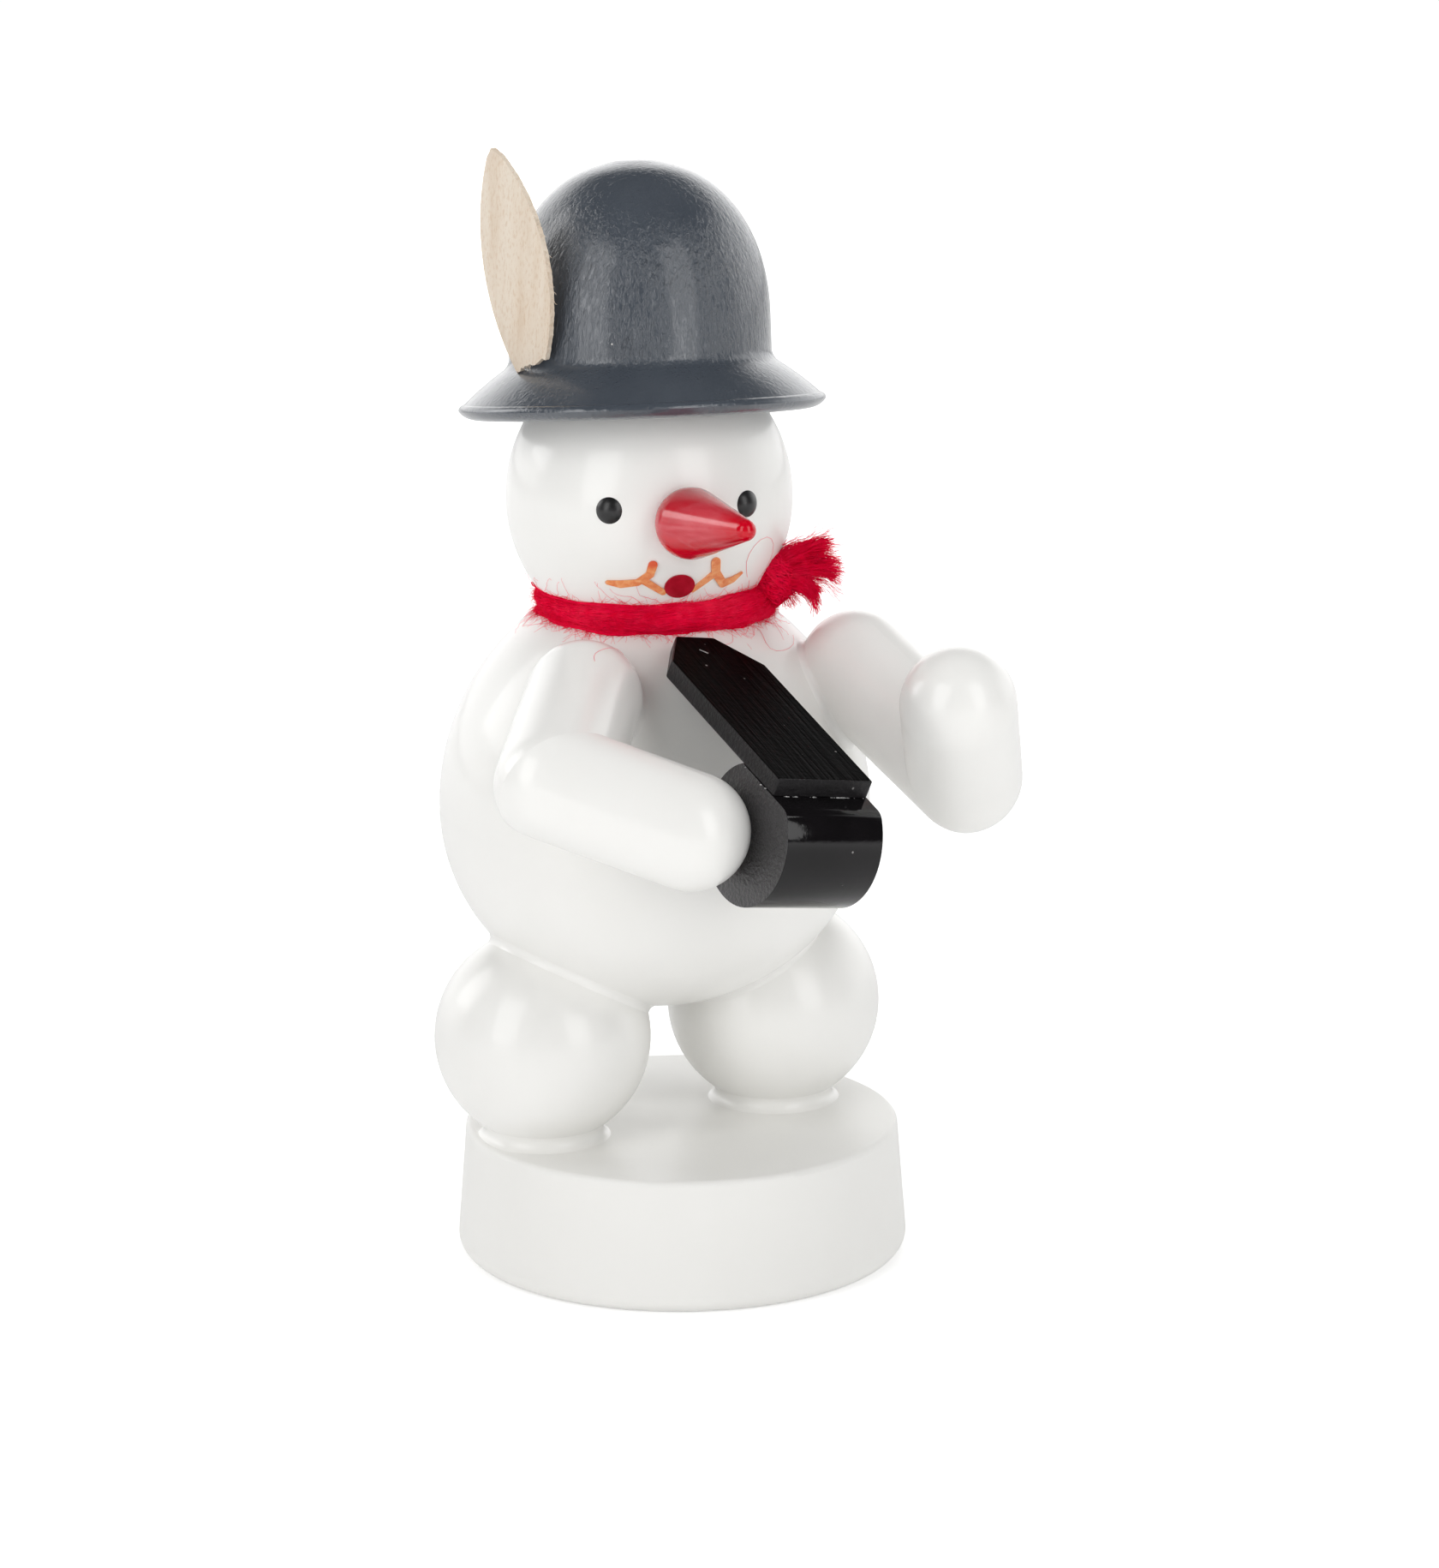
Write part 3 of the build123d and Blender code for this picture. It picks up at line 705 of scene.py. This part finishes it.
def yarn_point(angle, around, depth):
    """A point on or in the yarn: angle round the neck, angle round the yarn, share of depth."""
    angle, around, depth = np.broadcast_arrays(angle, around, depth)
    way = np.stack([np.cos(angle), np.sin(angle)], -1)
    pull = way @ KNOT_WAY
    front = np.clip(-(way @ BACK_WAY), 0, 1)
    sag = 0.35 * np.cos(angle + 1.9) + 0.12 * np.sin(3 * angle) - 0.95 * front**2
    lump = 1 + 0.05 * np.sin(5 * angle + 1) + 0.05 * np.sin(11 * angle + 2 * around)
    tall = (YARN_HALF_HEIGHT + 0.20 * np.clip(pull, 0, 1)) * lump
    wide = YARN_HALF_WIDTH * lump
    out = YARN_RING + 0.42 * pull + wide * np.cos(around) * depth
    z = YARN_Z + 0.25 * sag + tall * np.sin(around) * depth
    out = np.maximum(out, neck_wall(z) + 0.03)
    xy = NECK_XY + way * out[..., None]
    return np.concatenate([xy, z[..., None]], -1)


def ring_mesh(name, points, material):
    """A mesh from a grid of points that closes on itself both ways."""
    rows, cols, _ = points.shape
    faces = []
    for r in range(rows):
        for c in range(cols):
            r2, c2 = (r + 1) % rows, (c + 1) % cols
            faces.append((r * cols + c, r2 * cols + c, r2 * cols + c2, r * cols + c2))
    return piece(name, points.reshape(-1, 3), faces, material)


def make_core():
    """The body of the yarn, under its fibres."""
    angle = np.linspace(0, 2 * math.pi, 240, endpoint=False)
    around = np.linspace(0, 2 * math.pi, 28, endpoint=False)
    depth = 0.93 + 0.03 * np.sin(40 * angle)[:, None] * np.cos(3 * around)[None]
    core = yarn_point(angle[:, None], around[None], depth)
    core += rng.normal(0, 0.02, core.shape)
    body = ring_mesh("scarf_core", core, WOOL)
    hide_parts("scarf")


def make_fibres(count=3200, steps=9):
    """Fibres laid along the yarn, with a slight twist."""
    start = rng.uniform(0, 2 * math.pi, (count, 1))
    span = rng.uniform(0.25, 0.9, (count, 1)) * rng.choice((-1, 1), (count, 1))
    t = np.linspace(0, 1, steps)[None]
    face_on = rng.uniform(-2.3, 2.3, (count, 1))
    twist = rng.normal(0.25, 0.35, (count, 1)) * np.sign(span)
    deep = rng.uniform(0.93, 1.04, (count, 1)) + rng.normal(0, 0.02, (count, steps))
    lines = yarn_point(start + span * t, face_on + twist * t
                       + 0.15 * np.sin(6 * t + start), deep)
    lines += np.cumsum(rng.normal(0, 0.02, lines.shape), axis=1)
    radii = rng.uniform(0.022, 0.05, (count, 1)) * np.sin(np.pi * np.clip(t, 0.06, 0.94))**0.3
    tubes("scarf_fibres", lines, radii, WOOL)


def make_fuzz(count=5200, steps=6):
    """Fuzz that stands off the yarn."""
    start = rng.uniform(0, 2 * math.pi, (count, 1))
    t = np.linspace(0, 1, steps)[None]
    face_on = rng.uniform(-2.2, 2.2, (count, 1))
    far = rng.gamma(1.8, 0.17, (count, 1)) * t**1.2
    lines = yarn_point(start + rng.normal(0, 0.09, (count, 1)) * t, face_on
                       + rng.normal(0, 0.5, (count, 1)) * t, 0.98 + far)
    lines += np.cumsum(rng.normal(0, 0.035, lines.shape), axis=1)
    tubes("scarf_fuzz", lines, np.linspace(0.014, 0.007, steps)[None], WOOL)


def bundle(start, middle, end, wide, locks, count, fray, length=(0.70, 1.10)):
    """Locks of wool that run from the knot to a frayed, curly end."""
    steps = 12
    start, middle, end = (np.array(v) for v in (start, middle, end))
    ahead = (end - start) / np.linalg.norm(end - start)
    side = np.cross(ahead, (0, 0, 1))
    side /= np.linalg.norm(side)
    other = np.cross(side, ahead)
    lines = []
    for _ in range(locks):
        reach_out = rng.uniform(*length)
        t = np.linspace(0, 1, steps)[None] * reach_out * rng.uniform(0.80, 1.06, (count, 1))
        line = ((1 - t)**2)[..., None] * start + (2 * t * (1 - t))[..., None] * middle \
            + (t**2)[..., None] * end
        turn = rng.uniform(0, 2 * math.pi)
        far = wide * math.sqrt(rng.uniform(0, 1))
        swell = np.interp(t, (0, 0.3, 0.8, 1.1), (0.55, 0.9, 1.0, 1.0 + fray))
        spread = wide * np.interp(t, (0, 0.7, 1.1), (0.34, 0.24, 0.42))
        bend = 0.16 * np.sin(4.5 * t + rng.uniform(0, 6)) * t
        for way, lean in ((side, math.cos(turn)), (other, math.sin(turn))):
            loose = rng.normal(0, 1, (count, 1)) * spread
            pace = rng.uniform(6, 15, (count, 1))
            curl = 0.10 * t * np.sin(pace * t + rng.uniform(0, 6, (count, 1)))
            line = line + (far * lean * swell + bend + loose + curl)[..., None] * way
        line += np.cumsum(rng.normal(0, 0.022, line.shape), axis=1) * (0.3 + t)[..., None]
        lines.append(line)
    return np.concatenate(lines)


def blob(name, centre, size, seed):
    """A small lumpy core under the fibres."""
    rows, cols = 18, 26
    points = []
    for r in range(rows + 1):
        up = math.pi * r / rows
        for c in range(cols):
            a = 2 * math.pi * c / cols
            way = Vector((math.sin(up) * math.cos(a), math.sin(up) * math.sin(a), math.cos(up)))
            lump = 1 + 0.06 * math.sin(3 * a + seed + 4 * up) + 0.04 * math.sin(7 * up + seed)
            points.append((centre[0] + way.x * size[0] * lump,
                           centre[1] + way.y * size[1] * lump,
                           centre[2] + way.z * size[2] * lump))
    faces = [(r * cols + c, (r + 1) * cols + c, (r + 1) * cols + (c + 1) % cols,
              r * cols + (c + 1) % cols) for r in range(rows) for c in range(cols)]
    return piece(name, points, faces, WOOL)


def make_knot(count=900, steps=8):
    """Yarn wrapped over the knot."""
    middle = np.array(KNOT) + (-0.30, 0.10, -0.10)
    blob("scarf_knot_core", middle, (1.20, 1.15, 1.55), 1.0)
    pole = rng.normal((0.35, -0.1, 0.9), 0.35, (count, 3))
    pole /= np.linalg.norm(pole, axis=1, keepdims=True)
    first = np.cross(pole, rng.normal(size=(count, 3)))
    first /= np.linalg.norm(first, axis=1, keepdims=True)
    second = np.cross(pole, first)
    t = rng.uniform(0, 2 * math.pi, (count, 1)) + np.linspace(0, 1, steps)[None] \
        * rng.uniform(0.8, 2.0, (count, 1))
    size = np.array((1.34, 1.30, 1.68)) * rng.uniform(0.90, 1.10, (count, 1, 1))
    lift = rng.uniform(-0.8, 0.8, (count, 1))
    flat = np.sqrt(1 - lift**2)
    way = ((np.cos(t) * flat)[..., None] * first[:, None]
           + (np.sin(t) * flat)[..., None] * second[:, None]
           + (lift * np.ones_like(t))[..., None] * pole[:, None])
    lines = middle + way * size + np.cumsum(rng.normal(0, 0.03, way.shape), axis=1)
    tubes("scarf_knot", lines, rng.uniform(0.025, 0.05, (count, 1)), WOOL)


def make_ends():
    """The two frayed ends beyond the knot, in three lobes of combed wool."""
    lobes = (
        ((4.7, -5.3, 49.3), (6.0, -5.6, 50.5), (8.25, -6.5, 50.65), 0.56, 10, 80, 0.7),
        ((4.9, -5.5, 48.8), (6.6, -6.2, 49.5), (8.35, -7.1, 49.0), 0.54, 9, 80, 0.8),
        ((5.0, -5.7, 48.5), (6.5, -6.6, 48.6), (7.05, -7.0, 47.15), 0.54, 10, 80, 0.3),
    )
    parts, rests = [], []
    for start, middle, end, wide, locks, count, fray in lobes:
        parts.append(bundle(start, middle, end, wide, locks, count, fray))
        rests.append(bundle(start, middle, end, wide * 1.5, 30, 6, fray + 0.5, (0.55, 1.22)))
    # loose hairs that hang under the knot and stand over it
    rests.append(bundle((4.9, -5.5, 48.2), (5.3, -6.0, 47.4), (5.6, -6.4, 46.5), 0.5, 14, 6, 0.6))
    rests.append(bundle((4.4, -5.1, 49.4), (5.2, -5.3, 50.4), (6.6, -5.7, 51.1), 0.5, 14, 6, 0.6))
    for index, (start, middle, end, wide, _, _, _) in enumerate(lobes):
        centre = (np.array(start) + np.array(middle) * 2 + np.array(end)) / 4
        blob(f"scarf_end_core_{index + 1}", centre, (wide * 1.3, wide * 1.0, wide * 1.1), index)
    lines = np.concatenate(parts)
    tubes("scarf_ends", lines, rng.uniform(0.020, 0.040, (len(lines), 1))
          * np.linspace(1, 0.5, 12)[None], WOOL)
    lines = np.concatenate(rests)
    tubes("scarf_ends_fuzz", lines, np.linspace(0.018, 0.008, 12)[None], WOOL)


def rest_on(point, gap=0.05):
    """Move a point that lies in or near the head, torso or arms out to their skin."""
    best = None
    for name in ("head", "torso", "right_upper_arm", "left_upper_arm"):
        d, way, near = reach(tree_of(name), Vector(point))
        if best is None or d < best[0]:
            best = (d, way, near)
    d, way, near = best
    return near + way * gap if d < 1.5 else Vector(point)


# a loop up the cheek, one down the chest, and one over the right arm
LONG_HAIRS = (
    ((1.5, -7.1, 49.3), (0.9, -7.7, 50.5), (1.3, -7.9, 51.5), (2.5, -7.6, 52.3),
     (3.7, -6.9, 51.7), (3.9, -6.3, 50.6), (3.4, -6.2, 49.6), (2.9, -6.3, 48.8)),
    ((0.6, -6.6, 46.4), (1.6, -6.4, 46.0), (2.9, -6.4, 45.6), (2.5, -7.4, 44.9),
     (2.7, -8.2, 44.2), (4.2, -7.6, 44.0), (5.6, -6.4, 44.1), (6.2, -5.6, 44.8)),
    ((-12.3, -10.6, 45.3), (-12.1, -10.2, 45.8), (-11.7, -9.9, 46.1), (-10.9, -9.6, 46.3),
     (-10.3, -9.3, 46.2), (-9.8, -8.8, 45.9), (-9.3, -8.6, 45.5), (-9.0, -8.2, 45.0)),
)


def wandering_hair(steps):
    """One hair that leaves the yarn and settles on the skin above or below it."""
    angle = rng.uniform(0, 2 * math.pi)
    above = rng.uniform() < 0.45
    start = yarn_point(np.array(angle), np.array(1.2 if above else -1.2), np.array(1.0))
    away = np.array([math.cos(angle), math.sin(angle), 0.9 if above else -0.75])
    sweep = np.array([-math.sin(angle), math.cos(angle), 0]) * rng.choice((-1, 1))
    reach_out = rng.uniform(0.25, 1.5)
    sweep_out = rng.uniform(0.6, 3.2)
    curl = rng.uniform(0, 2 * math.pi, 2)
    line = []
    for k in range(steps):
        t = k / (steps - 1)
        p = (start + away * reach_out * t + sweep * sweep_out * t
             + sweep * 0.35 * math.sin(5 * t + curl[0]) * t
             + np.array([0, 0, 0.45 * math.sin(7 * t + curl[1]) * t]))
        line.append(tuple(rest_on(p, 0.03 + 0.12 * rng.uniform())))
    return line


def make_strays(count=64, steps=14):
    """Long single hairs that have settled on the lacquer round the scarf."""
    lines = [wandering_hair(steps) for _ in range(count)]
    for way in LONG_HAIRS:
        way = np.array(way)
        spots = np.linspace(0, len(way) - 1, steps)
        line = np.stack([np.interp(spots, range(len(way)), way[:, k]) for k in range(3)], 1)
        line[1:-1] = (line[:-2] + 2 * line[1:-1] + line[2:]) / 4
        lines.append([tuple(rest_on(p, 0.04)) for p in line])
    radii = np.linspace(0.014, 0.008, steps)[None]
    tubes("scarf_stray_hairs", lines, radii, WOOL)


make_core()
make_fibres()
make_fuzz()
make_knot()
make_ends()
make_strays()


# ---- dried glue along the seam of the prop ----
def bead_spots():
    """Middle, size and stretch of each bead of dried glue or lacquer."""
    spots = []
    for _ in range(34):
        s = rng.uniform(-0.9, 0.95)
        size = rng.uniform(0.035, 0.10)
        place = (PLATE_FRONT + PLATE_ACROSS * PLATE_HALF_WIDTH * s - PLATE_ALONG * 0.04
                 - PLATE_UP * rng.uniform(0.0, 0.12))
        spots.append((place, size, rng.uniform(1.0, 2.6)))
    for _ in range(3):
        y = rng.uniform(0.3, 4.2)
        place = (PLATE_FRONT - PLATE_ACROSS * (PLATE_HALF_WIDTH + 0.01) + PLATE_ALONG * y
                 - PLATE_UP * rng.uniform(-0.02, 0.06))
        spots.append((place, rng.uniform(0.04, 0.09), 1.6))
    # a chip of dried lacquer on top of the plate, near its far end
    for k in range(7):
        t = k / 6
        place = (PLATE_FRONT + PLATE_ACROSS * (-0.67 + 0.40 * t)
                 + PLATE_UP * (PLATE_THICKNESS + 0.04)
                 + PLATE_ALONG * (PLATE_LENGTH - 1.82 - 0.40 * t))
        spots.append((place, 0.055, 1.0))
    return spots


def make_glue(rows=5, cols=8):
    """All the beads as one mesh of small stretched balls."""
    points, faces = [], []
    for centre, size, longer in bead_spots():
        first = len(points)
        for r in range(rows + 1):
            a = math.pi * r / rows
            for c in range(cols):
                b = 2 * math.pi * c / cols
                points.append(centre + PLATE_ACROSS * size * longer * math.cos(a)
                              + PLATE_ALONG * size * 0.7 * math.sin(a) * math.cos(b)
                              + PLATE_UP * size * 0.7 * math.sin(a) * math.sin(b))
        for r in range(rows):
            for c in range(cols):
                a, b = first + r * cols, first + (r + 1) * cols
                faces.append((a + c, b + c, b + (c + 1) % cols, a + (c + 1) % cols))
    piece("prop_glue_beads", points, faces, GLUE)


make_glue()

# ---------------------------------------------------------------- soft edges
for name, width in (("prop_plate", 0.24), ("prop_roller", 0.16)):
    weld = nodes[name].modifiers.new("weld", "WELD")
    weld.merge_threshold = 1e-6
    bevel = nodes[name].modifiers.new("edges", "BEVEL")
    bevel.width = width * MM
    bevel.segments = 3
    bevel.limit_method = "ANGLE"
    bevel.angle_limit = math.radians(35)
    bevel.harden_normals = True

# ---------------------------------------------------------------- floor, lights, camera
scene = bpy.context.scene
CAMERA_PLACE = Vector((-0.16674, -0.30455, 0.11830))
CAMERA_FORWARD = Vector((0.47332, 0.84836, -0.23718))
CAMERA_RIGHT = Vector((0.87278, -0.4881, -0.00414))
CAMERA_LENS = 117.64
VIEW_XY = Vector((-CAMERA_FORWARD.x, -CAMERA_FORWARD.y, 0)).normalized()
FIGURE_MIDDLE = Vector((0, 0, 0.035))

FLOOR_GLOW = 0.10                       # light from the paper under the figure
FLOOR_GLOW_FAR = 0.5
FLOOR_WHITE = 0.26                      # added where the camera sees the paper itself
ROOM_FILL = 0.03
SWEEP_GLOW = 1.7
SWEEP_DARK = 0.04
BACKDROP = 1.1

# name, azimuth and elevation in degrees, distance, width and height in metres, watts
SOFTBOXES = (
    ("front_left", -41, 25, 0.75, 0.36, 0.66, 2.1),
    ("front_right", 41, 25, 0.75, 0.32, 0.66, 1.85),
    ("side_left", -108, 28, 0.70, 0.30, 0.40, 0.95),
)
# broad fills that light the figure without showing in its gloss: azimuth, elevation, watts
FILL_DISTANCE, FILL_WIDTH, FILL_HEIGHT = 0.90, 0.75, 0.60
FILLS = (
    ("overhead", 180, 80, 3.2),
    ("behind", 180, 30, 1.7),
    ("in_front", 0, 15, 1.05),
    ("side_right", 110, 20, 1.45),
)


def make_floor():
    """White paper that glows a little more the farther it is from the figure."""
    mesh = bpy.data.meshes.new("floor")
    half = 3.0
    mesh.from_pydata([(-half, -half, 0), (half, -half, 0), (half, half, 0), (-half, half, 0)],
                     [], [(0, 1, 2, 3)])
    floor = bpy.data.objects.new("floor", mesh)
    scene.collection.objects.link(floor)
    p = Paint("floor_paper", Roughness=0.7, Specular_IOR_Level=0.2)
    cloud = p.noise(p.place, scale=6, detail=2)
    p.into("Base Color", p.ramp(cloud, (0.3, 0.93), (0.7, 0.95)))
    p.shader.inputs["Emission Color"].default_value = (1, 1, 1, 1)
    away = p.node("ShaderNodeVectorMath", {0: p.place}, operation="LENGTH").outputs["Value"]
    glow = p.node("ShaderNodeMapRange", {
        "Value": away, "From Min": 0.06, "From Max": 0.40, "To Min": FLOOR_GLOW,
        "To Max": FLOOR_GLOW_FAR}, interpolation_type="SMOOTHSTEP").outputs[0]
    direct = p.node("ShaderNodeLightPath").outputs["Is Camera Ray"]
    level = p.node("ShaderNodeMath", {0: direct, 1: FLOOR_WHITE, 2: glow},
                   operation="MULTIPLY_ADD")
    p.into("Emission Strength", level.outputs[0])
    mesh.materials.append(p.mat)


def softbox(name, azimuth, elevation, distance, width, height, power):
    """A soft area light; azimuth is measured round from the camera's side, to the right."""
    a, e = math.radians(azimuth), math.radians(elevation)
    flat = Matrix.Rotation(a, 3, "Z") @ VIEW_XY
    place = FIGURE_MIDDLE + (flat * math.cos(e) + Vector((0, 0, math.sin(e)))) * distance
    data = bpy.data.lights.new(name, "AREA")
    data.shape = "RECTANGLE"
    data.size, data.size_y = width, height
    data.energy = power
    light = bpy.data.objects.new(name, data)
    light.location = place
    light.rotation_mode = "QUATERNION"
    light.rotation_quaternion = (FIGURE_MIDDLE - place).to_track_quat("-Z", "Y")
    scene.collection.objects.link(light)
    return light


def make_world():
    """A white sweep behind the figure and a dark studio in front of it and overhead."""
    world = bpy.data.worlds.new("studio")
    world.use_nodes = True
    tree = world.node_tree

    def node(kind, *inputs, **settings):
        made = tree.nodes.new(kind)
        for key, value in settings.items():
            setattr(made, key, value)
        for index, value in enumerate(inputs):
            if isinstance(value, bpy.types.NodeSocket):
                tree.links.new(value, made.inputs[index])
            elif value is not None:
                made.inputs[index].default_value = value
        return made

    way = node("ShaderNodeTexCoord").outputs["Generated"]
    behind = node("ShaderNodeVectorMath", way, tuple(-VIEW_XY), operation="DOT_PRODUCT")
    height = node("ShaderNodeSeparateXYZ", way).outputs["Z"]
    sweep = node("ShaderNodeMapRange", behind.outputs["Value"], -0.05, 0.35, 0.0, 1.0,
                 interpolation_type="SMOOTHSTEP")
    top = node("ShaderNodeMapRange", height, 0.70, 0.35, 0.0, 1.0,
               interpolation_type="SMOOTHSTEP")
    both = node("ShaderNodeMath", sweep.outputs[0], top.outputs[0], operation="MULTIPLY")
    level = node("ShaderNodeMath", both.outputs[0], SWEEP_GLOW, SWEEP_DARK,
                 operation="MULTIPLY_ADD")
    mirrored = node("ShaderNodeBackground", (1, 1, 1, 1), level.outputs[0])
    fill = node("ShaderNodeBackground", (1, 1, 1, 1), ROOM_FILL)
    seen = node("ShaderNodeBackground", (1, 1, 1, 1), BACKDROP)
    path = node("ShaderNodeLightPath")
    mirror = node("ShaderNodeMixShader", path.outputs["Is Glossy Ray"], fill.outputs[0],
                  mirrored.outputs[0])
    choose = node("ShaderNodeMixShader", path.outputs["Is Camera Ray"], mirror.outputs[0],
                  seen.outputs[0])
    tree.links.new(choose.outputs[0], tree.nodes["World Output"].inputs[0])
    scene.world = world


def make_camera():
    """The camera at the photograph's viewing angle."""
    data = bpy.data.cameras.new("camera")
    data.sensor_width = 36
    data.lens = CAMERA_LENS
    data.clip_start, data.clip_end = 0.01, 20
    camera = bpy.data.objects.new("camera", data)
    back = -CAMERA_FORWARD.normalized()
    up = back.cross(CAMERA_RIGHT.normalized()).normalized()
    right = up.cross(back)
    turn = Matrix((right, up, back)).transposed().to_4x4()
    camera.matrix_world = Matrix.Translation(CAMERA_PLACE) @ turn
    scene.collection.objects.link(camera)
    scene.camera = camera


make_floor()
make_world()
for lamp in SOFTBOXES:
    softbox(*lamp)
for name, azimuth, elevation, power in FILLS:
    fill = softbox(name, azimuth, elevation, FILL_DISTANCE, FILL_WIDTH, FILL_HEIGHT, power)
    fill.visible_glossy = False
make_camera()
scene.view_settings.view_transform = "Standard"
scene.view_settings.look = "None"
